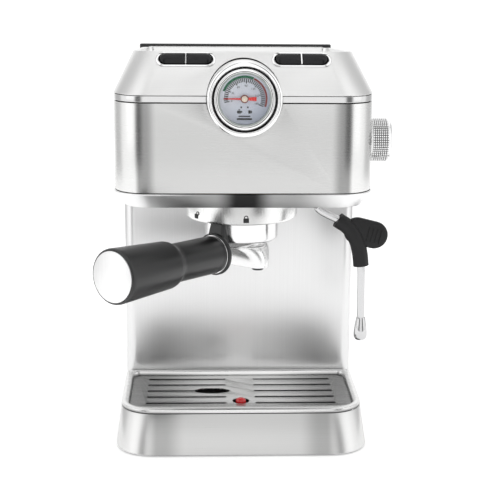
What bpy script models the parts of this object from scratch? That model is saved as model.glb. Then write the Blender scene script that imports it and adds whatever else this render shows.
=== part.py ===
"""A pump espresso machine, as separate pieces with clearances for its moving parts.

Metres. +X is to the right, +Y to the back and +Z up. The counter is z = 0, x = 0 is the middle of the
casing, and y = 0 is halfway between the tip of the filter holder's handle and the back of the machine.
"""

import math

import bpy
import bmesh
from mathutils import Matrix, Vector

for old in list(bpy.data.objects):
    bpy.data.objects.remove(old, do_unlink=True)

# Shared sizes
GAP = 0.0003  # between pieces that touch
SHEET = 0.0015  # sheet steel and thin plastic walls
CORNER_STEPS = 6

# Head
HEAD_HALF_WIDTH = 0.100
HEAD_FRONT = -0.106
HEAD_BACK = 0.098
HEAD_CORNER = 0.027
UNDERSIDE_Z = 0.2036
HEAD_BOTTOM_Z = 0.2143
BAND_BOTTOM_Z = 0.2836
BAND_TOP_Z = 0.2891
TOP_HALF_WIDTH = 0.0857
TOP_FRONT = -0.0734
TOP_BACK = 0.0965
TOP_FRONT_Z = 0.3202
TOP_BACK_Z = 0.3125
DECK_Z = 0.3060
SLOPE = math.atan2(TOP_FRONT_Z - BAND_TOP_Z, TOP_FRONT - HEAD_FRONT)

# Column and base
COLUMN_HALF_WIDTH = 0.0994
COLUMN_FRONT = 0.0152
COLUMN_BACK = 0.0950
BASE_HALF_WIDTH = 0.1026
RIM_HALF_WIDTH = 0.0990
RIM_FRONT = -0.0895
BASE_BACK = 0.1705
BASE_BOTTOM_Z = 0.0018
SKIRT_TOP_Z = 0.0291
DECK_TOP_Z = 0.0308
RIM_Z = 0.0344
RIM_BACK = 0.0147
GRATE_HALF_WIDTH = 0.0915
GRATE_FRONT = -0.0790
GRATE_BACK = 0.0085
GRATE_Z = 0.0310
SLOT_ROWS = 5
SLOT_PITCH = 0.0153
SLOT_HALF_WIDTH = 0.0019
SLOT_ENDS = (0.0118, 0.0790)
FIRST_SLOT_Y = -0.0030
FLOAT_Y = -0.0590

# Group and filter holder
GROUP_Y = -0.0440
COLLAR_RADIUS = 0.0453
COLLAR_BOTTOM_Z = 0.1858
LIP_RADIUS = 0.0345
HOLDER_RADIUS = 0.0298
HANDLE_TURN = math.radians(40)  # left of straight forward
HANDLE_RISE = math.radians(1.7)
HANDLE_Z = 0.1580
HANDLE_LENGTH = 0.1525

# Gauge, buttons, knob, steam wand
GAUGE_Z = 0.2868
GAUGE_RADIUS = 0.0286
GAUGE_BACK = -0.0740
BUTTON_PAIR_X = 0.0445
BUTTON_PAIR_Y = -0.0797
BUTTON_PAIR_Z = 0.3142
KNOB_Y = -0.0600
KNOB_Z = 0.2500
WAND_X = 0.0585
WAND_Y = -0.0680

# Water tank
TANK_HALF_WIDTH = 0.0880
TANK_FRONT = 0.1010
TANK_BACK = 0.1700
TANK_BOTTOM_Z = 0.0350
TANK_TOP_Z = 0.3015
LID_BACK = 0.1722
OUTLET_Y = 0.1360

# Finishes: colour, roughness, metallic
BRUSHED_STEEL = ((0.66, 0.66, 0.65), 0.32, 1.0)
POLISHED_STEEL = ((0.82, 0.82, 0.82), 0.10, 1.0)
CHROME = ((0.88, 0.88, 0.88), 0.05, 1.0)
SATIN_ALLOY = ((0.74, 0.74, 0.73), 0.40, 1.0)
BLACK_PLASTIC = ((0.015, 0.015, 0.016), 0.42, 0.0)
BLACK_RUBBER = ((0.020, 0.020, 0.021), 0.75, 0.0)
SMOKED_CLEAR = ((0.30, 0.32, 0.33), 0.15, 0.0)
CLEAR_GLASS = ((0.90, 0.93, 0.95), 0.03, 0.0)
DIAL_PAPER = ((0.62, 0.66, 0.72), 0.55, 0.0)
RED_PLASTIC = ((0.60, 0.02, 0.02), 0.30, 0.0)
BRASS = ((0.70, 0.52, 0.25), 0.35, 1.0)
GREEN_BOARD = ((0.02, 0.16, 0.07), 0.50, 0.0)
CLEAR_HOSE = ((0.80, 0.82, 0.80), 0.40, 0.0)


def paint(obj, finish):
    colour, roughness, metallic = finish
    material = bpy.data.materials.new(obj.name)
    material.use_nodes = True
    shader = material.node_tree.nodes["Principled BSDF"]
    shader.inputs["Base Color"].default_value = (*colour, 1.0)
    shader.inputs["Roughness"].default_value = roughness
    shader.inputs["Metallic"].default_value = metallic
    obj.data.materials.append(material)


def loft(name, loops, finish=None, ring=False, origin=(0, 0, 0)):
    """One skin over loops of equally many points: capped at both ends, or closed on itself as a ring."""
    count = len(loops[0])
    joins = len(loops) if ring else len(loops) - 1
    faces = []
    for k in range(joins):
        low, high = k * count, (k + 1) % len(loops) * count
        for i in range(count):
            j = (i + 1) % count
            faces.append((low + i, low + j, high + j, high + i))
    if not ring:
        faces.append(tuple(range(count)))
        faces.append(tuple(range((len(loops) - 1) * count, len(loops) * count)))
    start = Vector(origin)
    mesh = bpy.data.meshes.new(name)
    mesh.from_pydata([Vector(p) - start for loop in loops for p in loop], [], faces)
    shape = bmesh.new()
    shape.from_mesh(mesh)
    bmesh.ops.recalc_face_normals(shape, faces=shape.faces)
    shape.to_mesh(mesh)
    shape.free()
    obj = bpy.data.objects.new(name, mesh)
    obj.location = start
    bpy.context.collection.objects.link(obj)
    if finish:
        paint(obj, finish)
    return obj


def outline(half_width, front, back, front_radius, back_radius, z):
    """A rectangle with round corners, seen from above."""
    corners = (
        (half_width - back_radius, back - back_radius, back_radius, 0),
        (back_radius - half_width, back - back_radius, back_radius, 90),
        (front_radius - half_width, front + front_radius, front_radius, 180),
        (half_width - front_radius, front + front_radius, front_radius, 270),
    )
    points = []
    for x, y, radius, start in corners:
        for step in range(CORNER_STEPS + 1):
            angle = math.radians(start + 90 * step / CORNER_STEPS)
            points.append((x + radius * math.cos(angle), y + radius * math.sin(angle), z))
    return points


def circle(radius, z, steps):
    turns = (2 * math.pi * i / steps for i in range(steps))
    return [(radius * math.cos(a), radius * math.sin(a), z) for a in turns]


def lathe(name, profile, finish=None, centre=(0, 0, 0), axis=(0, 0, 1), steps=32, ring=False):
    """A turned piece. The profile is (radius, distance along the axis), and the centre is its origin."""
    obj = loft(name, [circle(radius, z, steps) for radius, z in profile], finish, ring)
    obj.data.transform(Vector(axis).to_track_quat("Z", "Y").to_matrix().to_4x4())
    obj.location = centre
    return obj


def box(name, low, high, finish=None, bevel=0.0, origin=(0, 0, 0)):
    corners = [(low[0], low[1]), (high[0], low[1]), (high[0], high[1]), (low[0], high[1])]
    obj = loft(name, [[(x, y, z) for x, y in corners] for z in (low[2], high[2])], finish, origin=origin)
    if bevel:
        edge = obj.modifiers.new("edges", "BEVEL")
        edge.width = bevel
        edge.segments = 2
    return obj


def boolean(target, tool, operation="DIFFERENCE"):
    tool.hide_render = True
    tool.display_type = "WIRE"
    change = target.modifiers.new(tool.name, "BOOLEAN")
    change.operation = operation
    change.solver = "EXACT"
    change.object = tool


def smooth_path(points, steps=4):
    """Catmull-Rom points through the given ones."""
    ends = [2 * Vector(points[0]) - Vector(points[1])]
    ends += [Vector(p) for p in points]
    ends.append(2 * Vector(points[-1]) - Vector(points[-2]))
    path = []
    for a, b, c, d in zip(ends, ends[1:], ends[2:], ends[3:]):
        for step in range(steps):
            t = step / steps
            path.append(
                0.5 * (2 * b + (c - a) * t + (2 * a - 5 * b + 4 * c - d) * t**2 + (3 * b - a - 3 * c + d) * t**3)
            )
    return path + [ends[-2]]


def sweep(name, path, radius, finish=None, steps=12, origin=(0, 0, 0)):
    """A round bar along a path, with its sections turned no more than the path turns."""
    along = (path[1] - path[0]).normalized()
    side = along.orthogonal().normalized()
    loops = []
    for i, point in enumerate(path):
        ahead = (path[min(i + 1, len(path) - 1)] - path[max(i - 1, 0)]).normalized()
        side = along.rotation_difference(ahead) @ side
        along = ahead
        across = along.cross(side)
        turns = (2 * math.pi * k / steps for k in range(steps))
        loops.append([point + radius * (side * math.cos(a) + across * math.sin(a)) for a in turns])
    return loft(name, loops, finish, origin=origin)


def build_base():
    skirt = loft(
        "base_skirt",
        [
            outline(BASE_HALF_WIDTH, HEAD_FRONT, BASE_BACK, 0.030, 0.012, BASE_BOTTOM_Z),
            outline(RIM_HALF_WIDTH, RIM_FRONT, BASE_BACK, 0.027, 0.012, SKIRT_TOP_Z),
            outline(RIM_HALF_WIDTH - 0.003, RIM_FRONT + 0.003, BASE_BACK - 0.003, 0.024, 0.009, SKIRT_TOP_Z),
            outline(RIM_HALF_WIDTH - 0.003, RIM_FRONT + 0.003, BASE_BACK - 0.003, 0.024, 0.009, SKIRT_TOP_Z - SHEET),
            outline(RIM_HALF_WIDTH - SHEET, RIM_FRONT + SHEET, BASE_BACK - SHEET, 0.0255, 0.0105, SKIRT_TOP_Z - SHEET),
            outline(BASE_HALF_WIDTH - SHEET, HEAD_FRONT + SHEET, BASE_BACK - SHEET, 0.0285, 0.0105, BASE_BOTTOM_Z),
        ],
        BRUSHED_STEEL,
        ring=True,
    )
    boolean(skirt, lathe("gland_hole", [(0.0065, 0), (0.0065, 0.02)], None, (0.060, 0.162, 0.018), (0, 1, 0), 20))
    pan = [outline(0.0985, HEAD_FRONT + 0.0065, 0.1670, 0.026, 0.009, z) for z in (0.0040, 0.0070)]
    loft("base_pan", pan, BLACK_PLASTIC)
    for side_name, x in (("left", -0.080), ("right", 0.080)):
        for end_name, y in (("front", -0.075), ("back", 0.150)):
            lathe(f"foot_{end_name}_{side_name}", [(0.0100, 0), (0.0112, 0.0037)], BLACK_RUBBER, (x, y, 0), steps=24)
    deck = loft(
        "base_deck",
        [outline(0.0955, RIM_BACK + 0.0005, 0.1670, 0.002, 0.008, z) for z in (DECK_TOP_Z - 0.0038, DECK_TOP_Z)],
        BLACK_PLASTIC,
    )
    boolean(deck, lathe("seat_hole", [(0.0091, 0), (0.0091, 0.02)], None, (0, OUTLET_Y, 0.020), steps=24))
    boolean(deck, lathe("hose_hole", [(0.0050, 0), (0.0050, 0.02)], None, (-0.050, 0.060, 0.020), steps=16))
    lathe(
        "cord_gland",
        [(0.0062, 0), (0.0062, 0.0108), (0.0090, 0.0108), (0.0090, 0.0122), (0.0035, 0.0122), (0.0035, 0)],
        BLACK_PLASTIC,
        (0.060, 0.1600, 0.018),
        (0, 1, 0),
        24,
        ring=True,
    )


def build_drip_tray():
    loft(
        "drip_tray",
        [
            outline(0.0870, -0.0800, 0.0090, 0.020, 0.004, 0.0085),
            outline(0.0915, -0.0822, 0.0125, 0.022, 0.004, 0.0288),
            outline(0.0915 - SHEET, -0.0822 + SHEET, 0.0125 - SHEET, 0.0205, 0.003, 0.0288),
            outline(0.0855, -0.0785, 0.0075, 0.0185, 0.003, 0.0100),
        ],
        BLACK_PLASTIC,
    )
    # A pressed cover: a flat plate sunk inside a round-edged rim that rests on the base skirt.
    plate = (GRATE_HALF_WIDTH, GRATE_FRONT, GRATE_BACK)
    grate = loft(
        "drip_grate",
        [
            outline(*plate, 0.012, 0.006, SKIRT_TOP_Z + GAP),
            outline(RIM_HALF_WIDTH, RIM_FRONT, RIM_BACK, 0.027, 0.004, SKIRT_TOP_Z + GAP),
            outline(RIM_HALF_WIDTH, RIM_FRONT, RIM_BACK, 0.027, 0.004, RIM_Z - 0.0018),
            outline(RIM_HALF_WIDTH - 0.0012, RIM_FRONT + 0.0012, RIM_BACK - 0.0008, 0.0258, 0.0035, RIM_Z - 0.0004),
            outline(RIM_HALF_WIDTH - 0.0030, RIM_FRONT + 0.0030, RIM_BACK - 0.0018, 0.024, 0.003, RIM_Z),
            outline(GRATE_HALF_WIDTH + 0.0018, GRATE_FRONT - 0.0018, GRATE_BACK + 0.0008, 0.014, 0.007, RIM_Z - 0.0004),
            outline(*plate, 0.012, 0.006, GRATE_Z),
        ],
        BRUSHED_STEEL,
    )
    cut_low, cut_high = GRATE_Z - 0.003, RIM_Z
    inner, outer = SLOT_ENDS
    for row in range(SLOT_ROWS):
        y = FIRST_SLOT_Y - row * SLOT_PITCH
        for side_name, side in (("left", -1), ("right", 1)):
            sizes = ((outer - inner) / 2, y - SLOT_HALF_WIDTH, y + SLOT_HALF_WIDTH, 0.0018, 0.0018)
            slot = loft(f"slot_{side_name}_{row}", [outline(*sizes, z) for z in (cut_low, cut_high)])
            slot.location.x = side * (outer + inner) / 2
            boolean(grate, slot)
    boolean(grate, lathe("float_window", [(0.0070, cut_low), (0.0070, cut_high)], None, (0, FLOAT_Y, 0), steps=24))
    finger_hole = lathe("finger_hole", [(0.0070, cut_low), (0.0070, cut_high)], None, (-0.024, -0.0336, 0), steps=24)
    finger_hole.scale.x = 2.2
    boolean(grate, finger_hole)
    lathe(
        "tray_float",
        [(0.0080, 0.0106), (0.0080, 0.0180), (0.0043, 0.0200), (0.0043, 0.0325), (0.0036, 0.0345), (0.0015, 0.0355)],
        RED_PLASTIC,
        (0, FLOAT_Y, 0),
        steps=20,
    )


def u_outline(half_width, front, back, radius, z):
    """A wall round the front and both sides, as one flat band seen from above."""
    outer, inner = [], []
    for x, start in ((half_width - radius, 0), (radius - half_width, -90)):
        for step in range(CORNER_STEPS + 1):
            angle = math.radians(start - 90 * step / CORNER_STEPS)
            for reach, band in ((radius, outer), (radius - SHEET, inner)):
                band.append((x + reach * math.cos(angle), front + radius + reach * math.sin(angle), z))
    outer = [(half_width, back, z)] + outer + [(-half_width, back, z)]
    inner = [(half_width - SHEET, back, z)] + inner + [(SHEET - half_width, back, z)]
    return outer + inner[::-1]


def build_column():
    low, high = DECK_TOP_Z + GAP, HEAD_BOTTOM_Z - GAP
    walls = [u_outline(COLUMN_HALF_WIDTH, COLUMN_FRONT, COLUMN_BACK, 0.009, z) for z in (low, high)]
    loft("column_panel", walls, BRUSHED_STEEL)
    box("back_panel", (-0.0975, COLUMN_BACK + 0.0005, low), (0.0975, COLUMN_BACK + 0.0025, high), BLACK_PLASTIC)


def head_outline(inset, z, back=HEAD_BACK):
    return outline(HEAD_HALF_WIDTH - inset, HEAD_FRONT + inset, back - inset, HEAD_CORNER - inset, 0.008, z)


def sloping(points):
    """The points lifted onto the plane that falls from the front of the top to its back."""
    fall = (TOP_FRONT_Z - TOP_BACK_Z) / (TOP_BACK - TOP_FRONT)
    return [(x, y, TOP_FRONT_Z - fall * (y - TOP_FRONT)) for x, y, _ in points]


def build_head():
    low, high = HEAD_BOTTOM_Z + GAP, BAND_BOTTOM_Z - GAP
    shell = loft(
        "head_shell",
        [head_outline(0, low), head_outline(0, high), head_outline(SHEET, high), head_outline(SHEET, low)],
        BRUSHED_STEEL,
        ring=True,
    )
    band = loft(
        "head_band",
        [
            head_outline(0, BAND_BOTTOM_Z),
            head_outline(0, BAND_TOP_Z),
            head_outline(0.0040, BAND_TOP_Z),
            head_outline(0.0040, BAND_BOTTOM_Z),
        ],
        POLISHED_STEEL,
        ring=True,
    )
    under_back = COLUMN_FRONT - GAP
    underside = loft(
        "head_underside",
        [
            outline(HEAD_HALF_WIDTH - 0.008, HEAD_FRONT + 0.008, under_back, 0.020, 0.002, UNDERSIDE_Z),
            outline(HEAD_HALF_WIDTH, HEAD_FRONT, under_back, HEAD_CORNER, 0.002, HEAD_BOTTOM_Z),
            outline(HEAD_HALF_WIDTH - SHEET, HEAD_FRONT + SHEET, under_back - SHEET, 0.0255, 0.0015, HEAD_BOTTOM_Z),
            outline(HEAD_HALF_WIDTH - 0.009, HEAD_FRONT + 0.009, under_back - SHEET, 0.018, 0.0015, UNDERSIDE_Z + SHEET),
        ],
        POLISHED_STEEL,
    )
    top = loft(
        "top_cover",
        [
            outline(0.0800, -0.0680, 0.0915, 0.014, 0.006, DECK_Z),
            sloping(outline(0.0815, -0.0694, 0.0925, 0.015, 0.007, 0)),
            sloping(outline(TOP_HALF_WIDTH, TOP_FRONT, TOP_BACK, 0.018, 0.008, 0)),
            outline(HEAD_HALF_WIDTH, HEAD_FRONT, HEAD_BACK, HEAD_CORNER, 0.008, BAND_TOP_Z + GAP),
            outline(HEAD_HALF_WIDTH - 0.0018, HEAD_FRONT + 0.0018, HEAD_BACK - SHEET, 0.025, 0.007, BAND_TOP_Z + GAP),
            outline(0.0925, -0.0885, HEAD_BACK - 0.0025, 0.020, 0.007, 0.3030),
        ],
        BRUSHED_STEEL,
    )
    plate = [outline(0.0785, -0.0665, 0.0900, 0.013, 0.005, z) for z in (DECK_Z + GAP, DECK_Z + 0.0018)]
    loft("cup_warming_plate", plate, BRUSHED_STEEL)

    hole = (GAUGE_RADIUS + GAP, 0)
    gauge_hole = lathe("gauge_hole", [hole, (hole[0], 0.060)], None, (0, GAUGE_BACK + 0.001, GAUGE_Z), (0, -1, 0), 48)
    for pierced in (shell, band, top):
        boolean(pierced, gauge_hole)
    boolean(underside, lathe("group_hole", [(0.0400, 0), (0.0400, 0.02)], None, (0, GROUP_Y, 0.195), steps=40))
    boolean(underside, lathe("wand_hole", [(0.0085, 0), (0.0085, 0.02)], None, (WAND_X, WAND_Y, 0.195), steps=20))
    boolean(shell, lathe("stem_hole", [(0.0045, 0), (0.0045, 0.02)], None, (0.090, KNOB_Y, KNOB_Z), (1, 0, 0), 16))
    box("switch_board", (-0.062, -0.060, 0.2985), (0.062, -0.030, 0.3001), GREEN_BOARD)
    return top


def on_slope(obj, x):
    """Puts a piece modelled flat on the head's front slope."""
    obj.rotation_euler.x = SLOPE
    obj.location = (x, BUTTON_PAIR_Y, BUTTON_PAIR_Z)


def button_outline(outer_side, z):
    """A button with a round outer end and a square inner end, outer_side being -1 for the left one."""
    points = [(0.0006, -0.0050, z)]
    for step in range(CORNER_STEPS + 1):
        angle = math.radians(-90 + 180 * step / CORNER_STEPS)
        points.append((0.0146 + 0.0052 * math.cos(angle), 0.0050 * math.sin(angle), z))
    points.append((0.0006, 0.0050, z))
    return [(outer_side * x, y, z) for x, y, z in points]


def build_buttons(top):
    for pair, side in (("left", -1), ("right", 1)):
        bezel = loft(
            f"button_bezel_{pair}",
            [
                outline(0.0232, -0.0072, 0.0072, 0.0070, 0.0070, GAP),
                outline(0.0227, -0.0067, 0.0067, 0.0065, 0.0065, 0.0012),
                outline(0.0206, -0.0056, 0.0056, 0.0054, 0.0054, 0.0012),
                outline(0.0206, -0.0056, 0.0056, 0.0054, 0.0054, -0.0040),
                outline(0.0219, -0.0059, 0.0059, 0.0057, 0.0057, -0.0040),
                outline(0.0219, -0.0059, 0.0059, 0.0057, 0.0057, GAP),
            ],
            CHROME,
            ring=True,
        )
        pocket = loft(
            f"button_pocket_{pair}",
            [outline(0.0222, -0.0062, 0.0062, 0.0060, 0.0060, z) for z in (-0.0072, 0.0050)],
        )
        for piece in (bezel, pocket):
            on_slope(piece, side * BUTTON_PAIR_X)
        boolean(top, pocket)
        for end, outer_side in (("a", -1), ("b", 1)):
            button = loft(f"button_{pair}_{end}", [button_outline(outer_side, z) for z in (-0.0055, 0.0022)], BLACK_PLASTIC)
            on_slope(button, side * BUTTON_PAIR_X)


def build_gauge():
    place = {"centre": (0, GAUGE_BACK, GAUGE_Z), "axis": (0, -1, 0)}
    lathe(
        "gauge_bezel",
        [(GAUGE_RADIUS, 0), (GAUGE_RADIUS, 0.0385), (0.0276, 0.0400), (0.0252, 0.0400), (0.0238, 0.0378), (0.0238, 0)],
        CHROME,
        steps=48,
        ring=True,
        **place,
    )
    lathe(
        "gauge_housing",
        [(0.0235, 0.0040), (0.0235, 0.0370), (0.0205, 0.0376), (0.0196, 0.0366), (0.0196, 0.0290)],
        CHROME,
        steps=48,
        **place,
    )
    lathe("gauge_dial", [(0.0193, 0.0293), (0.0193, 0.0303)], DIAL_PAPER, steps=40, **place)
    lathe("gauge_glass", [(0.0193, 0.0334), (0.0193, 0.0346)], CLEAR_GLASS, steps=40, **place)
    needle_y = GAUGE_BACK - 0.0307
    needle_origin = (0, needle_y, GAUGE_Z)
    needle = lathe("gauge_needle", [(0.0026, 0), (0.0026, 0.0018)], RED_PLASTIC, needle_origin, (0, -1, 0), 20)
    hand = [(0.0090, 0.0016), (0.0090, -0.0016), (0, -0.0006), (-0.0160, -0.0003), (-0.0160, 0.0003), (0, 0.0006)]
    arm = loft("needle_arm", [[(x, needle_y - y, GAUGE_Z + z) for x, z in hand] for y in (0.0004, 0.0012)])
    boolean(needle, arm, "UNION")


def arc_block(name, centre, inner, outer, low, high, middle, spread):
    """A block between two radii, round the Z axis, middle and spread being angles."""
    angles = [middle + spread * (i / 4 - 0.5) for i in range(5)]
    flat = [(outer * math.cos(a), outer * math.sin(a)) for a in angles]
    flat += [(inner * math.cos(a), inner * math.sin(a)) for a in reversed(angles)]
    loops = [[(centre[0] + x, centre[1] + y, z) for x, y in flat] for z in (low, high)]
    return loft(name, loops)


def build_group():
    centre = (0, GROUP_Y, 0)
    collar = lathe(
        "group_collar",
        [
            (COLLAR_RADIUS, 0.2033),
            (COLLAR_RADIUS, COLLAR_BOTTOM_Z + 0.0020),
            (COLLAR_RADIUS - 0.0010, COLLAR_BOTTOM_Z),
            (LIP_RADIUS, COLLAR_BOTTOM_Z),
            (LIP_RADIUS, 0.1888),
            (0.0385, 0.1888),
            (0.0385, 0.2033),
        ],
        SATIN_ALLOY,
        centre,
        steps=48,
        ring=True,
    )
    # The lugs drop out through these slots when the handle points 54 degrees to the left.
    forward = -math.pi / 2
    for name, side in (("lug_slot_left", -1), ("lug_slot_right", 1)):
        angle = forward - math.radians(54) + side * math.pi / 2
        boolean(collar, arc_block(name, centre, 0.030, 0.0375, 0.180, 0.195, angle, math.radians(32)))
    lathe("group_body", [(0.0240, 0.1950), (0.0240, 0.2000), (0.0372, 0.2000), (0.0372, 0.2350)], BRASS, centre, steps=40)
    gasket = [(0.0362, 0.1966), (0.0362, 0.1997), (0.0290, 0.1997), (0.0290, 0.1966)]
    lathe("group_gasket", gasket, BLACK_RUBBER, centre, steps=40, ring=True)
    lathe("shower_screen", [(0.0250, 0.1935), (0.0250, 0.1947)], POLISHED_STEEL, centre, steps=36)
    lathe("shower_screw", [(0.0035, 0.1912), (0.0040, 0.1932)], POLISHED_STEEL, centre, steps=16)


def handle_point(distance):
    """A point on the handle's centre line, measured from the group's axis."""
    level = distance * math.cos(HANDLE_RISE)
    x = -math.sin(HANDLE_TURN) * level
    y = GROUP_Y - math.cos(HANDLE_TURN) * level
    return Vector((x, y, HANDLE_Z + distance * math.sin(HANDLE_RISE)))


def on_handle(name, profile, finish, steps=32, ring=False):
    """A turned piece on the handle's centre line, its profile measured from the group's axis."""
    along = (handle_point(1) - handle_point(0)).normalized()
    loops = [circle(radius, distance, steps) for radius, distance in profile]
    turn = Matrix.Translation(handle_point(0)) @ along.to_track_quat("Z", "Y").to_matrix().to_4x4()
    placed = [[turn @ Vector(p) for p in loop] for loop in loops]
    return loft(name, placed, finish, ring, origin=(0, GROUP_Y, 0))


def turned_with_handle(points):
    """Points modelled with the handle straight forward, turned to where it is."""
    cos, sin = math.cos(-HANDLE_TURN), math.sin(-HANDLE_TURN)
    return [(x * cos - y * sin, GROUP_Y + x * sin + y * cos, z) for x, y, z in points]


def build_filter_holder():
    centre = (0, GROUP_Y, 0)
    body = lathe(
        "portafilter_body",
        [
            (0.0215, 0.1629),
            (HOLDER_RADIUS, 0.1690),
            (HOLDER_RADIUS, 0.1885),
            (0.0330, 0.1895),
            (0.0330, 0.1953),
            (0.0285, 0.1953),
            (0.0285, 0.1700),
        ],
        POLISHED_STEEL,
        centre,
        steps=48,
    )
    forward = -math.pi / 2 - HANDLE_TURN
    for name, side in (("lug_left", -1), ("lug_right", 1)):
        angle = forward + side * math.pi / 2
        boolean(body, arc_block(name, centre, 0.0320, 0.0368, 0.1896, 0.1925, angle, math.radians(24)), "UNION")
    lathe(
        "filter_basket",
        [
            (0.0255, 0.1720),
            (0.0280, 0.1760),
            (0.0280, 0.1956),
            (0.0325, 0.1956),
            (0.0325, 0.1963),
            (0.0272, 0.1963),
            (0.0272, 0.1765),
            (0.0250, 0.1728),
        ],
        POLISHED_STEEL,
        centre,
        steps=48,
    )
    sections = (
        (0.0205, 0.0205, 0.0200, 0.1626),
        (0.0255, 0.0120, 0.0115, 0.1550),
        (0.0262, 0.0088, 0.0085, 0.1500),
        (0.0258, 0.0084, 0.0080, 0.1423),
    )
    loops = [
        turned_with_handle(outline(half_width, -depth, depth, radius, radius, z))
        for half_width, depth, radius, z in sections
    ]
    loft("double_spout", loops, CHROME, origin=centre)

    # The neck grips the holder's side, so the holder's own outline is cut out of it.
    neck_loops = [
        turned_with_handle(outline(half_width, -0.0318, -0.0200, 0.003, 0.0005, z))
        for half_width, z in ((0.0060, 0.1700), (0.0075, 0.1760), (0.0070, 0.1850))
    ]
    neck = loft("handle_neck", neck_loops, BLACK_PLASTIC, origin=centre)
    boolean(neck, lathe("neck_seat", [(0.0302, 0.15), (0.0302, 0.20)], None, centre, steps=48))
    on_handle("handle_ferrule", [(0.0140, 0.0325), (0.0169, 0.0335), (0.0169, 0.0360), (0.0150, 0.0372)], BLACK_PLASTIC)
    grip = [(0.0148, 0.0375), (0.0152, 0.0860), (0.0182, 0.0920), (0.0213, 0.1500), (0.0209, 0.1508)]
    on_handle("handle_grip", grip, BLACK_PLASTIC)
    on_handle("handle_end_cap", [(0.0194, 0.1511), (0.0194, HANDLE_LENGTH)], SATIN_ALLOY)


def build_steam_knob():
    profile = [(0.0150, 0.1003), (0.0172, 0.1012), (0.0172, 0.1155), (0.0150, 0.1175)]
    along = [(radius, x - 0.1003) for radius, x in profile]
    lathe("steam_knob", along, SATIN_ALLOY, (0.1003, KNOB_Y, KNOB_Z), (1, 0, 0), 36)
    lathe("valve_stem", [(0.0035, 0), (0.0035, 0.0250)], BRASS, (0.0750, KNOB_Y, KNOB_Z), (1, 0, 0), 16)
    box("steam_valve", (0.050, KNOB_Y - 0.012, KNOB_Z - 0.012), (0.0747, KNOB_Y + 0.012, KNOB_Z + 0.012), BRASS, 0.001)


def wand_path(first, last):
    """The wand's centre line between two of its chosen points."""
    flat = [
        (WAND_X, 0.1980),
        (0.0612, 0.1950),
        (0.0668, 0.1914),
        (0.0765, 0.1865),
        (0.0855, 0.1800),
        (0.0920, 0.1700),
        (0.0950, 0.1590),
        (0.0962, 0.1490),
        (0.0968, 0.1260),
        (0.0972, 0.1046),
    ]
    return smooth_path([(x, WAND_Y, z) for x, z in flat[first:last]], 3)


def build_steam_wand():
    pivot = (WAND_X, WAND_Y, 0)
    lathe("wand_pivot", [(0.0060, 0.2003), (0.0078, 0.2020), (0.0078, 0.2130)], CHROME, pivot, steps=24)
    sweep("wand_tube", wand_path(0, 10), 0.0030, CHROME, 14, pivot)
    grip = sweep("wand_grip", wand_path(3, 8), 0.0062, BLACK_RUBBER, 20, pivot)
    paddle = loft(
        "wand_paddle",
        [
            [(x, y, z) for x, z, _ in outline(0.0180, -0.0110, 0.0110, 0.0109, 0.0109, 0)]
            for y in (-0.0022, 0.0022)
        ],
    )
    paddle.rotation_euler.y = math.radians(-14)
    paddle.location = (0.0993, WAND_Y, 0.1758)
    boolean(grip, paddle, "UNION")
    boolean(grip, sweep("wand_bore", wand_path(0, 10), 0.0033, None, 14, pivot))
    lathe(
        "wand_nozzle",
        [(0.0034, 0.1043), (0.0050, 0.0960), (0.0054, 0.0905), (0.0046, 0.0875), (0.0025, 0.0865)],
        CHROME,
        (0.0972, WAND_Y, 0),
        steps=24,
    )


def build_tank():
    size = (TANK_HALF_WIDTH, TANK_FRONT, TANK_BACK)
    inner = (TANK_HALF_WIDTH - 0.0025, TANK_FRONT + 0.0025, TANK_BACK - 0.0025)
    tank = loft(
        "water_tank",
        [
            outline(*size, 0.012, 0.012, TANK_BOTTOM_Z),
            outline(*size, 0.012, 0.012, TANK_TOP_Z),
            outline(*inner, 0.0095, 0.0095, TANK_TOP_Z),
            outline(*inner, 0.0095, 0.0095, TANK_BOTTOM_Z + 0.003),
        ],
        SMOKED_CLEAR,
    )
    outlet = (0, OUTLET_Y, 0)
    boolean(tank, lathe("tank_outlet", [(0.0060, 0.030), (0.0060, 0.045)], None, outlet, steps=20))
    valve = [(0.0056, 0.0352), (0.0056, 0.0383), (0.0090, 0.0383), (0.0090, 0.0400), (0.0040, 0.0480)]
    lathe("tank_valve", valve, BLACK_PLASTIC, outlet, steps=20)
    seat = [(0.0088, 0.0290), (0.0088, 0.0345), (0.0030, 0.0345), (0.0030, 0.0290)]
    lathe("valve_seat", seat, BLACK_RUBBER, outlet, steps=20, ring=True)

    hinge = (0, TANK_BACK, TANK_TOP_Z)
    low = TANK_TOP_Z + GAP
    lid_loops = [outline(0.0920, HEAD_BACK + 0.002, LID_BACK, 0.006, 0.008, z) for z in (low, 0.3075)]
    lid = loft("tank_lid", lid_loops, BLACK_PLASTIC, origin=hinge)
    lip = [outline(0.0918, LID_BACK - 0.0060, LID_BACK - 0.0004, 0.0020, 0.0030, z) for z in (0.3060, 0.3112)]
    boolean(lid, loft("lid_lip", lip), "UNION")
    insert = [outline(0.0830, 0.1030, 0.1640, 0.004, 0.004, z) for z in (0.3078, 0.3092)]
    loft("tank_lid_insert", insert, BRUSHED_STEEL, origin=hinge)


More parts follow.
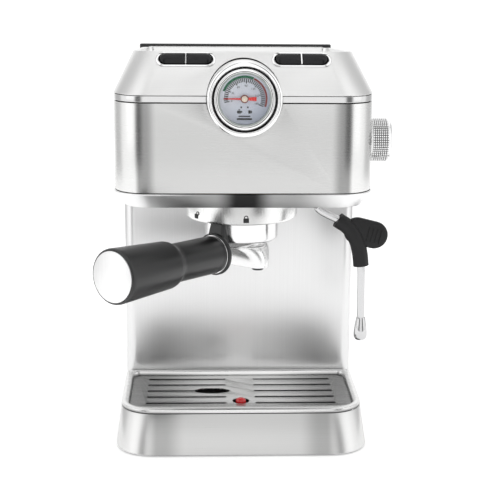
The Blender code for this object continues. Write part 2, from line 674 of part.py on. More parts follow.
def build_insides():
    lathe(
        "pump",
        [(0.0100, 0.0600), (0.0220, 0.0640), (0.0220, 0.1200), (0.0080, 0.1260), (0.0080, 0.1310)],
        BLACK_PLASTIC,
        (-0.050, 0.060, 0),
        steps=28,
    )
    box("thermoblock", (-0.045, 0.005, 0.2250), (0.045, 0.085, 0.2700), SATIN_ALLOY, 0.002)
    box("control_board", (0.020, 0.0880, 0.0600), (0.090, 0.0896, 0.1600), GREEN_BOARD)
    supply = [(0, OUTLET_Y, 0.0285), (0, 0.133, 0.0200), (-0.02, 0.110, 0.0160), (-0.045, 0.075, 0.0170)]
    supply += [(-0.050, 0.060, 0.0280), (-0.050, 0.060, 0.0450), (-0.050, 0.060, 0.0597)]
    sweep("supply_hose", smooth_path(supply), 0.0025, CLEAR_HOSE, 10)
    feed = [(-0.050, 0.060, 0.1313), (-0.050, 0.060, 0.1700), (-0.035, 0.048, 0.2050), (-0.032, 0.046, 0.2235)]
    sweep("pressure_hose", smooth_path(feed), 0.0025, CLEAR_HOSE, 10)


build_base()
build_drip_tray()
build_column()
build_buttons(build_head())
build_gauge()
build_group()
build_filter_holder()
build_steam_knob()
build_steam_wand()
build_tank()
build_insides()
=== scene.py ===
import math

import bmesh
import bpy
from mathutils import Matrix, Vector


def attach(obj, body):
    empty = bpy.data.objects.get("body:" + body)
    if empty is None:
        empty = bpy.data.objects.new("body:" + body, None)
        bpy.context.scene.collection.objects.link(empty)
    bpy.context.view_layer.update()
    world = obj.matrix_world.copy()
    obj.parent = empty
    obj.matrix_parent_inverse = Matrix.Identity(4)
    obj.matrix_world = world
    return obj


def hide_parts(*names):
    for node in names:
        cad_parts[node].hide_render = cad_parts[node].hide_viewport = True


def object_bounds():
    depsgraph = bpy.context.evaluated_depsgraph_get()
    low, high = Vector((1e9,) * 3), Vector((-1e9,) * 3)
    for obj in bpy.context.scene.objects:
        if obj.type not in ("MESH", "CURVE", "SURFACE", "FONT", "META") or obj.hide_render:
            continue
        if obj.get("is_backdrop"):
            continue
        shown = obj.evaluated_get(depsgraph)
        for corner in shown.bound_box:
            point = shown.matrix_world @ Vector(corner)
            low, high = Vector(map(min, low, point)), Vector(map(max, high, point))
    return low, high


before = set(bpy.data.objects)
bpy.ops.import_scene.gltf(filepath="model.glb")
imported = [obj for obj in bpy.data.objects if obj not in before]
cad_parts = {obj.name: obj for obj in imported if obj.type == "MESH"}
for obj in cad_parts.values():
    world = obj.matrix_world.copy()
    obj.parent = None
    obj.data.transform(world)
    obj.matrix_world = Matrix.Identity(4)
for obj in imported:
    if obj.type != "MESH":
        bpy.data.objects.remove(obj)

cad_low, cad_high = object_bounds()

# ---- Feet and base pan ---------------------------------------------------------------------------
# Four soft moulded feet pushed up into the plastic pan that closes the base from below. The pan is
# injection moulded with a fine spark-eroded texture and is screwed into the folded skirt.


class Wire:
    """A node's output. Sums written with it add Math nodes."""

    def __init__(self, finish, socket):
        self.finish, self.socket = finish, socket

    def sum(self, how, *values):
        return self.finish.add("ShaderNodeMath", {"operation": how}, dict(enumerate(values)))

    def __add__(self, other):
        return self.sum("ADD", self, other)

    def __radd__(self, other):
        return self.sum("ADD", other, self)

    def __sub__(self, other):
        return self.sum("SUBTRACT", self, other)

    def __rsub__(self, other):
        return self.sum("SUBTRACT", other, self)

    def __mul__(self, other):
        return self.sum("MULTIPLY", self, other)

    def __rmul__(self, other):
        return self.sum("MULTIPLY", other, self)

    def __abs__(self):
        return self.sum("ABSOLUTE", self)


class Nodes:
    """A node tree, the place that it is worked out at, and one way to add a node to it."""

    def __init__(self, tree, place):
        self.tree = tree
        self.place = self.add("ShaderNodeTexCoord", out=place)

    def add(self, kind, settings=None, inputs=None, out=0):
        node = self.tree.nodes.new(kind)
        for name, value in (settings or {}).items():
            setattr(node, name, value)
        for name, value in (inputs or {}).items():
            if isinstance(value, Wire):
                self.tree.links.new(value.socket, node.inputs[name])
            else:
                node.inputs[name].default_value = value
        return Wire(self, node.outputs[out])

    def axis(self, number):
        """One coordinate of the place: 0 is across, 1 is backwards and 2 is up."""
        return self.add("ShaderNodeSeparateXYZ", inputs={"Vector": self.place}, out=number)

    def rise(self, value, start, end):
        """A smooth step from 0 where the value is at start to 1 where it is at end."""
        span = {"Value": value, "From Min": start, "From Max": end}
        return self.add("ShaderNodeMapRange", {"interpolation_type": "SMOOTHSTEP"}, span)


class Finish(Nodes):
    """A surface finish: a material, and what feeds its shader."""

    def __init__(self, name, **shader):
        self.material = bpy.data.materials.new(name)
        self.material.use_nodes = True
        super().__init__(self.material.node_tree, "Object")
        self.shader = self.tree.nodes["Principled BSDF"]
        for socket, value in shader.items():
            self.shader.inputs[socket.replace("_", " ")].default_value = value

    def feed(self, socket, wire):
        self.tree.links.new(wire.socket, self.shader.inputs[socket])

    def grain(self, scale, detail=3.0, size=1.0):
        """Noise on the piece's own coordinates, stretched by the scale per metre."""
        stretched = self.add("ShaderNodeMapping", inputs={"Vector": self.place, "Scale": scale})
        return self.add("ShaderNodeTexNoise", inputs={"Vector": stretched, "Scale": size, "Detail": detail})

    def tint(self, mask, dark, light):
        """The base colour going from one colour to the other with the mask."""
        pair = {0: mask, 6: (*dark, 1), 7: (*light, 1)}
        self.feed("Base Color", self.add("ShaderNodeMix", {"data_type": "RGBA"}, pair, out=2))

    def relief(self, height, depth, strength=1.0):
        bump = {"Height": height, "Distance": depth, "Strength": strength}
        self.feed("Normal", self.add("ShaderNodeBump", inputs=bump))


def moulded(name, colour, roughness, texture=2500.0, depth=0.00004, **shader):
    """Moulded plastic or rubber: a fine even texture, with slightly worn and slightly dull places."""
    finish = Finish(name, **shader)
    fine = finish.grain((texture,) * 3, 2.0)
    broad = finish.grain((35.0,) * 3, 2.0)
    finish.tint(broad, [0.8 * c for c in colour], [min(1.0, 1.2 * c + 0.002) for c in colour])
    finish.feed("Roughness", broad * 0.12 + fine * 0.06 + (roughness - 0.09))
    finish.relief(fine, depth)
    return finish.material


def wear(nodes, material):
    """Gives CAD nodes that are carried over their finish."""
    for node in nodes:
        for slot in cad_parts[node].material_slots:
            slot.material = material


foot_rubber = moulded("foot_rubber", (0.020, 0.020, 0.021), 0.75, 1800.0, 0.00008)
black_plastic = moulded("black_plastic", (0.016, 0.016, 0.017), 0.45)
wear(["foot_front_left", "foot_front_right", "foot_back_left", "foot_back_right"], foot_rubber)
wear(["base_pan"], black_plastic)

# ---- Base skirt ----------------------------------------------------------------------------------
# A wall of brushed stainless steel, folded round the base and leaning in towards the top at the
# front. It is pressed from 1.5 mm sheet, polished along its length and open above and below.


def clear():
    bpy.ops.object.select_all(action="DESELECT")


def pick(piece, kind, test):
    """Selects the piece's VERT, EDGE or FACE elements that pass the test, in edit mode."""
    bpy.ops.mesh.select_mode(type=kind)
    bpy.ops.mesh.select_all(action="DESELECT")
    shape = bmesh.from_edit_mesh(piece.data)
    for item in {"VERT": shape.verts, "EDGE": shape.edges, "FACE": shape.faces}[kind]:
        if test(item):
            item.select_set(True)
    shape.select_flush_mode()
    bmesh.update_edit_mesh(piece.data)


def plan(half_width, front, back, front_radius, back_radius, z, x=0.0):
    """An outline seen from above, with its own radius at the front and at the back corners."""
    return half_width, front, back, front_radius, back_radius, z, x


def raise_walls(name, plans, caps=(), steps=10, place=None):
    """Sheets with rounded corners, one for each plan, bridged from one to the next into a skin.

    caps says which of the first and the last outline is filled, and place moves the result.
    """
    clear()
    bpy.ops.mesh.primitive_plane_add(size=0.001, location=(0, 0, 0))
    piece = bpy.context.object
    piece.name = piece.data.name = name
    bpy.ops.object.mode_set(mode="EDIT")
    bpy.ops.mesh.delete(type="VERT")
    bmesh.from_edit_mesh(piece.data).verts.layers.int.new("ring")

    def ring(v):
        return v[bmesh.from_edit_mesh(piece.data).verts.layers.int["ring"]]

    for number, (half_width, front, back, front_radius, back_radius, z, x) in enumerate(plans, 1):
        middle = (x, (front + back) / 2, z)
        bpy.ops.mesh.primitive_plane_add(size=1, location=(0, 0, 0))
        bpy.ops.transform.resize(value=(2 * half_width, back - front, 1), center_override=(0, 0, 0))
        bpy.ops.transform.translate(value=middle)
        for radius, edge_y in ((front_radius, front), (back_radius, back)):
            pick(piece, "VERT", lambda v: ring(v) == 0 and abs(v.co.y - edge_y) < 1e-5)
            bpy.ops.mesh.bevel(affect="VERTICES", offset=radius, segments=steps, clamp_overlap=False)
        shape = bmesh.from_edit_mesh(piece.data)
        tag = shape.verts.layers.int["ring"]
        for v in shape.verts:
            v[tag] = v[tag] or number
        pick(piece, "FACE", lambda f: all(ring(v) == number for v in f.verts))
        bpy.ops.mesh.delete(type="ONLY_FACE")
    for number in range(1, len(plans)):
        pair = (number, number + 1)
        pick(piece, "EDGE", lambda e: ring(e.verts[0]) == ring(e.verts[1]) and ring(e.verts[0]) in pair)
        bpy.ops.mesh.bridge_edge_loops()
    for cap, number in (("bottom", 1), ("top", len(plans))):
        if cap in caps:
            pick(piece, "EDGE", lambda e: all(ring(v) == number for v in e.verts))
            bpy.ops.mesh.edge_face_add()
    bpy.ops.mesh.select_all(action="SELECT")
    bpy.ops.mesh.normals_make_consistent(inside=False)
    bpy.ops.object.mode_set(mode="OBJECT")
    piece.data.attributes.remove(piece.data.attributes["ring"])
    if place is not None:
        piece.data.transform(place)
    return piece


def apply(piece, kind, **settings):
    """Adds a modifier and applies it."""
    modifier = piece.modifiers.new(kind.lower(), kind)
    for name, value in settings.items():
        setattr(modifier, name, value)
    clear()
    piece.select_set(True)
    bpy.context.view_layer.objects.active = piece
    bpy.ops.object.modifier_apply(modifier=modifier.name)


def finish_off(piece, material, body, *nodes, edge=0.0, segments=3, angle=30.0, smooth=35.0):
    """Breaks the sharp edges, shades the piece, gives it its finish and puts it on its body."""
    if edge:
        limit = math.radians(angle)
        apply(piece, "BEVEL", width=edge, segments=segments, limit_method="ANGLE", angle_limit=limit)
    clear()
    piece.select_set(True)
    bpy.context.view_layer.objects.active = piece
    bpy.ops.object.shade_smooth_by_angle(angle=math.radians(smooth))
    piece.data.materials.clear()
    piece.data.materials.append(material)
    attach(piece, body)
    if nodes:
        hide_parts(*nodes)
    return piece


def brushed(name, colour, roughness, lines, depth=0.00001, reflection_bands=None, streak=0.10):
    """Brushed steel: lines drawn out along the sheet, and broad, faint changes in its sheen.

    The reflection bands give four distances from the middle and an amount: a painted reflection. The sheet
    is painted darker by the amount from the first to the second, as a dark reflection, and painted brighter
    from the third to the fourth, as a painted highlight.
    """
    finish = Finish(name, Metallic=1.0)
    fine = finish.grain(lines, 4.0)
    broad = finish.grain((12.0,) * 3, 2.0)
    shade = fine * streak + broad * 0.06 + (0.97 - streak / 2)
    # Painted reflection: darker from the first distance to the second, painted highlight from the third to
    # the fourth.
    if reflection_bands:
        inner, dark, outer, edge, amount = reflection_bands
        from_middle = abs(finish.axis(0))
        painted_highlight = finish.rise(from_middle, outer, edge) * 1.9
        shade = shade - (finish.rise(from_middle, inner, dark) - painted_highlight) * amount
    finish.tint(shade * 0.75, (0.0, 0.0, 0.0), [c / 0.75 for c in colour])
    finish.feed("Roughness", fine * streak + broad * 0.05 + (roughness - 0.025 - streak / 2))
    finish.relief(fine, depth)
    return finish.material


# Painted reflection on the skirt: a darker band inside each front corner, then a brighter band on the corner.
skirt_reflection_bands = (0.045, 0.063, 0.068, 0.080, 0.32)
skirt_steel = brushed("skirt_steel", (0.57, 0.57, 0.565), 0.30, (9.0, 9.0, 2600.0), reflection_bands=skirt_reflection_bands)
skirt = raise_walls(
    "skirt",
    [
        plan(0.1026, -0.106, 0.1705, 0.030, 0.012, 0.0018),
        plan(0.0990, -0.0895, 0.1705, 0.027, 0.012, 0.0306),
    ],
)
apply(skirt, "SOLIDIFY", thickness=0.0015, offset=-1.0)
finish_off(skirt, skirt_steel, "machine", "base_skirt", edge=0.0004, segments=2)
wear(["base_deck", "cord_gland"], black_plastic)

# ---- Column --------------------------------------------------------------------------------------
# The upright between base and head: one brushed steel sheet bent round the front and both sides,
# with a 9 mm bend at each front corner, and closed behind by a flat plastic panel.

column_steel = brushed("column_steel", (0.80, 0.80, 0.80), 0.34, (2200.0, 2200.0, 10.0))
column = raise_walls(
    "column",
    [
        plan(0.0994, 0.0152, 0.0950, 0.009, 0.0010, 0.0309),
        plan(0.0994, 0.0152, 0.0950, 0.009, 0.0010, 0.2142),
    ],
)
bpy.ops.object.mode_set(mode="EDIT")
pick(column, "FACE", lambda f: f.calc_center_median().y > 0.0935)
bpy.ops.mesh.delete(type="FACE")
bpy.ops.object.mode_set(mode="OBJECT")
apply(column, "SOLIDIFY", thickness=0.0015, offset=-1.0)
finish_off(column, column_steel, "machine", "column_panel", edge=0.0003, segments=2)
wear(["back_panel"], black_plastic)

# ---- Drip tray, cover and float ------------------------------------------------------------------
# A moulded tray hangs in the base. Over it lies a pressed steel cover with a round-edged rim, five
# rows of drain slots, a finger hole and a window for the red float that rises when the tray is full.


def turn(name, profile, centre, axis=(0, 0, 1), steps=96):
    """Spins a profile of (radius, height) points about the axis through the centre."""
    axis = Vector(axis).normalized()
    out = axis.orthogonal().normalized()
    points = [Vector(centre) + out * radius + axis * height for radius, height in profile]
    clear()
    bpy.ops.mesh.primitive_plane_add(size=0.001, location=(0, 0, 0))
    piece = bpy.context.object
    piece.name = piece.data.name = name
    bpy.ops.object.mode_set(mode="EDIT")
    bpy.ops.mesh.select_mode(type="VERT")
    bpy.ops.mesh.merge(type="CENTER")
    bpy.ops.transform.translate(value=points[0])
    for before, after in zip(points, points[1:]):
        bpy.ops.mesh.extrude_region_move(TRANSFORM_OT_translate={"value": after - before})
    bpy.ops.mesh.select_all(action="SELECT")
    bpy.ops.mesh.spin(steps=steps, angle=2 * math.pi, center=centre, axis=axis)
    bpy.ops.mesh.select_all(action="SELECT")
    bpy.ops.mesh.remove_doubles(threshold=1e-6)
    bpy.ops.mesh.normals_make_consistent(inside=False)
    bpy.ops.object.mode_set(mode="OBJECT")
    return piece


def join(pieces):
    """Makes one piece of several, named after the first."""
    clear()
    for piece in pieces:
        piece.select_set(True)
    bpy.context.view_layer.objects.active = pieces[0]
    bpy.ops.object.join()
    return pieces[0]


def cut(piece, cutters):
    """Cuts the shapes out of the piece and throws the cutters away."""
    cutter = join(cutters)
    apply(piece, "BOOLEAN", object=cutter, operation="DIFFERENCE", solver="EXACT")
    bpy.data.objects.remove(cutter, do_unlink=True)


wear(["drip_tray"], black_plastic)
cover_steel = Finish("cover_steel", Metallic=1.0)
fine = cover_steel.grain((8.0, 2600.0, 2600.0), 4.0)
# Painted shade and reflection: the sunk plate is painted darker than the rim, and darker still towards its
# sides as a painted dark reflection.
side_dark_reflection = cover_steel.rise(abs(cover_steel.axis(0)), 0.020, 0.085)
sunk_plate_shade = cover_steel.rise(cover_steel.axis(2), 0.0338, 0.0312)
shade = fine * 0.10 + 0.93 - sunk_plate_shade * (side_dark_reflection * 0.56 + 0.12)
cover_steel.tint(shade, (0.0, 0.0, 0.0), (0.80, 0.80, 0.795))
cover_steel.feed("Roughness", fine * 0.10 + 0.22)
cover_steel.relief(fine, 0.00001)
cover = raise_walls(
    "tray_cover",
    [
        plan(0.0915, -0.0790, 0.0085, 0.0120, 0.0060, 0.0296),
        plan(0.0925, -0.0800, 0.0090, 0.0130, 0.0060, 0.0311),
        plan(0.0990, -0.0895, 0.0147, 0.0270, 0.0040, 0.0311),
        plan(0.0990, -0.0895, 0.0147, 0.0270, 0.0040, 0.0328),
        plan(0.0986, -0.0891, 0.0144, 0.0266, 0.0038, 0.0337),
        plan(0.0976, -0.0881, 0.0136, 0.0256, 0.0035, 0.0343),
        plan(0.0960, -0.0865, 0.0125, 0.0240, 0.0030, 0.0344),
        plan(0.0938, -0.0813, 0.0098, 0.0150, 0.0070, 0.0343),
        plan(0.0930, -0.0805, 0.0092, 0.0140, 0.0066, 0.0338),
        plan(0.0922, -0.0797, 0.0088, 0.0128, 0.0062, 0.0316),
        plan(0.0915, -0.0790, 0.0085, 0.0120, 0.0060, 0.0310),
    ],
    caps=("bottom", "top"),
    steps=12,
)
slots = []
for row in range(5):
    y = -0.0030 - row * 0.0153
    for side in (-1, 1):
        sizes = (0.0336, y - 0.0019, y + 0.0019, 0.00185, 0.00185)
        plans = [plan(*sizes, z, side * 0.0454) for z in (0.028, 0.036)]
        slots.append(raise_walls(f"slot_{row}_{side + 1}", plans, caps=("bottom", "top"), steps=6))
round_hole = [(0, 0.028), (0.0070, 0.028), (0.0070, 0.036), (0, 0.036)]
window = turn("window", round_hole, (0, -0.059, 0), steps=48)
finger = turn("finger", round_hole, (0, 0, 0), steps=48)
finger.data.transform(Matrix.Translation((-0.024, -0.0336, 0)) @ Matrix.Diagonal((2.2, 1, 1, 1)))
cut(cover, slots + [window])
cut(cover, [finger])
finish_off(cover, cover_steel.material, "tray_cover", "drip_grate", edge=0.0002, segments=2, angle=40.0)

glossy = {"Coat_Weight": 0.5, "Coat_Roughness": 0.08}
float_red = moulded("float_red", (0.62, 0.012, 0.016), 0.22, 900.0, 0.00001, **glossy)
tray_float = turn(
    "tray_full_float",
    [
        (0, 0.0106),
        (0.0080, 0.0106),
        (0.0080, 0.0180),
        (0.0043, 0.0200),
        (0.0043, 0.0306),
        (0.0042, 0.0316),
        (0.0037, 0.0325),
        (0.0027, 0.0331),
        (0.0014, 0.0334),
        (0, 0.0335),
    ],
    (0, -0.0590, 0),
    steps=48,
)
finish_off(tray_float, float_red, "full_float", "tray_float", edge=0.0002)

# ---- Head ----------------------------------------------------------------------------------------
# A steel wall round the head, brushed along its length, closed below by a polished pressed tray
# with a sloping edge, and above by a polished band and a domed cover with a recess for warm cups.


def polished(name, colour, roughness):
    """Polished or plated metal: bright, with faint smears and very fine polishing lines."""
    finish = Finish(name, Metallic=1.0)
    smear = finish.grain((60.0, 60.0, 25.0), 4.0)
    fine = finish.grain((1500.0,) * 3, 2.0)
    finish.tint(smear, [0.95 * c for c in colour], colour)
    finish.feed("Roughness", smear * 0.05 + fine * 0.02 + (roughness - 0.03))
    finish.relief(smear, 0.00003, 0.4)
    return finish.material


def head_plan(inset, z, back=0.098):
    return plan(0.100 - inset, -0.106 + inset, back, 0.027 - inset, 0.008, z)


def gauge_hole():
    """A cutter for the hole that the gauge's bezel goes through."""
    profile = [(0, 0), (0.0289, 0), (0.0289, 0.050), (0, 0.050)]
    return turn("gauge_hole", profile, (0, -0.0735, 0.2868), (0, -1, 0), 128)


# Painted reflection on the head wall: a dark band near each front corner and a bright band on the corner's
# bend.
head_reflection_bands = (0.0660, 0.0745, 0.0795, 0.0842, 0.45)
fine_lines = {"depth": 0.000004, "reflection_bands": head_reflection_bands, "streak": 0.05}
head_steel = brushed("head_steel", (0.585, 0.585, 0.58), 0.27, (6.0, 6.0, 3000.0), **fine_lines)
band_steel = polished("band_steel", (0.72, 0.72, 0.72), 0.14)
wall = raise_walls("head_wall", [head_plan(0, 0.2146), head_plan(0, 0.2832)], steps=16)
apply(wall, "SOLIDIFY", thickness=0.0015, offset=-1.0)
cut(wall, [gauge_hole()])
finish_off(wall, head_steel, "machine", "head_shell", edge=0.0003, segments=2)

band = raise_walls("head_band_ring", [head_plan(0, 0.2840), head_plan(0, 0.2886)], steps=16)
apply(band, "SOLIDIFY", thickness=0.0015, offset=-1.0)
cut(band, [gauge_hole()])
finish_off(band, band_steel, "machine", "head_band", edge=0.0006, segments=4)

under_steel = Finish("under_steel", Metallic=1.0)
smear = under_steel.grain((60.0, 60.0, 25.0), 4.0)
# Painted reflection: the underside is painted near black in the middle, grey a little further out and bright
# towards both sides.
from_middle = abs(under_steel.axis(0) - 0.001)
underside_reflection = under_steel.rise(from_middle, 0.006, 0.024) * 0.4 + under_steel.rise(from_middle, 0.036, 0.082) * 0.6
under_steel.tint(underside_reflection, (0.03, 0.03, 0.03), (0.93, 0.93, 0.93))
under_steel.feed("Roughness", smear * 0.08 + 0.40)
under = raise_walls(
    "head_tray",
    [
        plan(0.092, -0.098, 0.0149, 0.020, 0.002, 0.2036),
        plan(0.100, -0.106, 0.0149, 0.027, 0.002, 0.2143),
    ],
    caps=("bottom",),
    steps=16,
)
apply(under, "SOLIDIFY", thickness=0.0015, offset=-1.0, use_even_offset=True)
holes = []
for name, radius, x, y, steps in (("group", 0.0400, 0, -0.044, 96), ("wand", 0.0085, 0.0585, -0.068, 48)):
    profile = [(0, 0.198), (radius, 0.198), (radius, 0.208), (0, 0.208)]
    holes.append(turn(f"{name}_hole", profile, (x, y, 0), steps=steps))
cut(under, holes)
finish_off(under, under_steel.material, "machine", "head_underside", edge=0.0006, segments=3)

top_steel = brushed("top_steel", (0.80, 0.80, 0.795), 0.30, (10.0, 2400.0, 2400.0))
top = raise_walls(
    "head_top",
    [
        plan(0.1000, -0.1060, 0.0980, 0.027, 0.008, 0.2895),
        plan(0.0857, -0.0734, 0.0965, 0.018, 0.008, 0.3202),
        plan(0.0815, -0.0694, 0.0925, 0.015, 0.007, 0.3202),
        plan(0.0800, -0.0680, 0.0915, 0.014, 0.006, 0.3060),
    ],
    caps=("top",),
    steps=16,
)
bpy.ops.object.mode_set(mode="EDIT")
pick(top, "VERT", lambda v: v.co.z > 0.3190)
fall = math.atan2(0.3202 - 0.3125, 0.0965 + 0.0734)
bpy.ops.transform.rotate(value=fall, orient_axis="X", center_override=(0, -0.0734, 0.3202))
bpy.ops.object.mode_set(mode="OBJECT")
apply(top, "SOLIDIFY", thickness=0.0010, offset=-1.0)


def on_slope(x, turn_by=0.0):
    """The place of a button frame on the cover's front slope."""
    lean = Matrix.Rotation(math.atan2(0.3202 - 0.2891, 0.1060 - 0.0734), 4, "X")
    return Matrix.Translation((x, -0.0797, 0.3142)) @ lean @ Matrix.Rotation(turn_by, 4, "Z")


pockets = []
for side in (-1, 1):
    plans = [plan(0.0222, -0.0062, 0.0062, 0.0060, 0.0060, z) for z in (-0.0072, 0.0050)]
    pockets.append(raise_walls(f"pocket_{side + 1}", plans, ("bottom", "top"), place=on_slope(side * 0.0445)))
cut(top, pockets + [gauge_hole()])
finish_off(top, top_steel, "machine", "top_cover", edge=0.0010, segments=4, angle=28.0)

shelf_steel = brushed("shelf_steel", (0.70, 0.70, 0.70), 0.26, (10.0, 2600.0, 2600.0))
shelf = raise_walls(
    "cup_shelf",
    [plan(0.0785, -0.0665, 0.0900, 0.013, 0.005, z) for z in (0.3063, 0.3078)],
    caps=("bottom", "top"),
)
finish_off(shelf, shelf_steel, "machine", "cup_warming_plate", edge=0.0006)

# ---- Buttons -------------------------------------------------------------------------------------
# Two pairs of glossy black push buttons, each pair in a chromed frame that clips into a slot in the
# cover's front slope. Every button has a round outer end, and its face is slightly crowned.

chrome = polished("chrome", (0.93, 0.93, 0.93), 0.05)
piano_black = moulded("piano_black", (0.006, 0.006, 0.007), 0.20, 400.0, 0.000004, Specular_IOR_Level=0.28)
for pair, side in (("left", -1), ("right", 1)):
    frame_ring = raise_walls(
        f"button_frame_{pair}",
        [
            plan(0.0232, -0.0072, 0.0072, 0.0071, 0.0071, 0.0002),
            plan(0.0231, -0.0071, 0.0071, 0.0070, 0.0070, 0.0008),
            plan(0.0226, -0.0066, 0.0066, 0.0065, 0.0065, 0.0013),
            plan(0.0213, -0.0061, 0.0061, 0.0060, 0.0060, 0.0012),
            plan(0.0207, -0.0056, 0.0056, 0.0055, 0.0055, 0.0006),
            plan(0.0206, -0.0056, 0.0056, 0.0055, 0.0055, -0.0040),
        ],
        place=on_slope(side * 0.0445),
    )
    finish_off(frame_ring, chrome, "machine", f"button_bezel_{pair}", smooth=50.0)
    fin = raise_walls(
        f"button_fin_{pair}",
        [plan(0.00045, -0.0052, 0.0052, 0.0002, 0.0002, z) for z in (-0.0040, 0.0016)],
        caps=("bottom", "top"),
        steps=3,
        place=on_slope(side * 0.0445),
    )
    finish_off(fin, chrome, "machine", smooth=50.0)
    for end, outer in (("a", -1), ("b", 1)):
        key = raise_walls(
            f"push_button_{pair}_{end}",
            [
                plan(0.0050, -0.0198, -0.0006, 0.00495, 0.0003, -0.0055),
                plan(0.0050, -0.0198, -0.0006, 0.00495, 0.0003, 0.0012),
                plan(0.0047, -0.0195, -0.0008, 0.00465, 0.0004, 0.0018),
                plan(0.0041, -0.0189, -0.0014, 0.00405, 0.0005, 0.0023),
                plan(0.0026, -0.0174, -0.0028, 0.00255, 0.0006, 0.0026),
            ],
            caps=("bottom", "top"),
            place=on_slope(side * 0.0445, outer * math.pi / 2),
        )
        finish_off(key, piano_black, f"key_{pair}_{end}", f"button_{pair}_{end}", smooth=60.0)
# ---- Gauge ---------------------------------------------------------------------------------------
# A round gauge in the head's front: a heavy chromed bezel, a black seal, a second chromed ring
# that holds the glass, a printed paper-white dial and a red hand pressed onto its arbor.

gauge_back, gauge_middle = -0.0740, 0.2868
gauge_place = {"centre": (0, gauge_back, gauge_middle), "axis": (0, -1, 0)}
bezel = turn(
    "gauge_outer_ring",
    [
        (0.0246, 0.0300),
        (0.0286, 0.0300),
        (0.0286, 0.0376),
        (0.0284, 0.0386),
        (0.0278, 0.0394),
        (0.0268, 0.0399),
        (0.0260, 0.0400),
        (0.0252, 0.0396),
        (0.0247, 0.0386),
        (0.0246, 0.0370),
        (0.0246, 0.0300),
    ],
    steps=160,
    **gauge_place,
)
finish_off(bezel, chrome, "machine", "gauge_bezel", smooth=50.0)
sleeve = turn(
    "gauge_sleeve",
    [(0.0240, 0.0000), (0.0284, 0.0000), (0.0284, 0.0300), (0.0240, 0.0300), (0.0240, 0.0000)],
    steps=96,
    **gauge_place,
)
finish_off(sleeve, chrome, "machine", edge=0.0003)
seal_and_groove_shade_black = moulded("seal_and_groove_shade_black", (0.008, 0.008, 0.009), 0.12, 900.0, 0.000006)
seal = turn(
    "gauge_seal",
    [
        (0.0228, 0.0310),
        (0.0246, 0.0310),
        (0.0246, 0.0350),
        (0.0240, 0.0358),
        (0.0232, 0.0352),
        (0.0228, 0.0310),
    ],
    steps=128,
    **gauge_place,
)
finish_off(seal, seal_and_groove_shade_black, "machine", smooth=60.0)
inner_ring = turn(
    "gauge_inner_ring",
    [
        (0.0000, 0.0050),
        (0.0233, 0.0050),
        (0.0233, 0.0362),
        (0.0229, 0.0372),
        (0.0220, 0.0378),
        (0.0208, 0.0378),
        (0.0201, 0.0372),
        (0.0199, 0.0362),
        (0.0194, 0.0360),
        (0.0194, 0.0290),
        (0.0000, 0.0290),
    ],
    steps=160,
    **gauge_place,
)
finish_off(inner_ring, chrome, "machine", "gauge_housing", smooth=50.0)

paper = Finish("dial_paper", Roughness=0.5)
# Painted shade: the dial is painted lighter towards its upper left and darker towards its lower right.
dial_shade_slant = paper.axis(0) * 16.0 - (paper.axis(2) - gauge_middle) * 16.0 + 0.45
shade = {0: dial_shade_slant, 6: (0.74, 0.76, 0.82, 1), 7: (0.40, 0.44, 0.54, 1)}
dial_colour = paper.add("ShaderNodeMix", {"data_type": "RGBA", "clamp_factor": True}, shade, out=2)
paper.feed("Base Color", dial_colour)
paper.relief(paper.grain((4000.0,) * 3), 0.00001)
dial = turn(
    "dial_plate",
    [(0, 0.0293), (0.0190, 0.0293), (0.0193, 0.0296), (0.0193, 0.0303), (0, 0.0303)],
    steps=96,
    **gauge_place,
)
finish_off(dial, paper.material, "machine", "gauge_dial", edge=0.0001)


def on_dial(right, up, height=0.03035):
    """A place on the dial, right and up being seen from the front."""
    return Vector((right, gauge_back - height, gauge_middle + up))


def ink(name, colour):
    finish = Finish(name)
    speck = finish.grain((3500.0,) * 3, 2.0)
    finish.tint(speck, [0.85 * c for c in colour], colour)
    finish.feed("Roughness", speck * 0.2 + 0.35)
    return finish.material


black_ink = ink("black_ink", (0.006, 0.0065, 0.008))


def printed_arc(name, radius, half_width, first, last, material):
    """A printed band round part of the dial: a short edge spun between two angles."""
    clear()
    bpy.ops.mesh.primitive_plane_add(size=0.001, location=(0, 0, 0))
    arc = bpy.context.object
    arc.name = arc.data.name = name
    bpy.ops.object.mode_set(mode="EDIT")
    bpy.ops.mesh.select_mode(type="VERT")
    bpy.ops.mesh.merge(type="CENTER")
    start = math.radians(first)
    ray = Vector((math.cos(start), 0, math.sin(start)))
    bpy.ops.transform.translate(value=on_dial(0, 0, 0.03034) + ray * (radius - half_width))
    bpy.ops.mesh.extrude_region_move(TRANSFORM_OT_translate={"value": ray * 2 * half_width})
    bpy.ops.mesh.select_all(action="SELECT")
    sweep = math.radians(first - last)
    bpy.ops.mesh.spin(steps=32, angle=sweep, center=on_dial(0, 0, 0.03034), axis=(0, -1, 0))
    bpy.ops.mesh.select_all(action="SELECT")
    bpy.ops.mesh.normals_make_consistent(inside=False)
    bpy.ops.object.mode_set(mode="OBJECT")
    apply(arc, "SOLIDIFY", thickness=0.00005, offset=1.0)
    return finish_off(arc, material, "machine")


printed_arc("band_low", 0.0166, 0.00095, 160, 66, ink("green_ink", (0.006, 0.13, 0.06)))
printed_arc("band_high", 0.0166, 0.00075, 65, -21, ink("red_ink", (0.24, 0.035, 0.03)))
printed_arc("band_edge", 0.0154, 0.00010, 190, -21, black_ink)


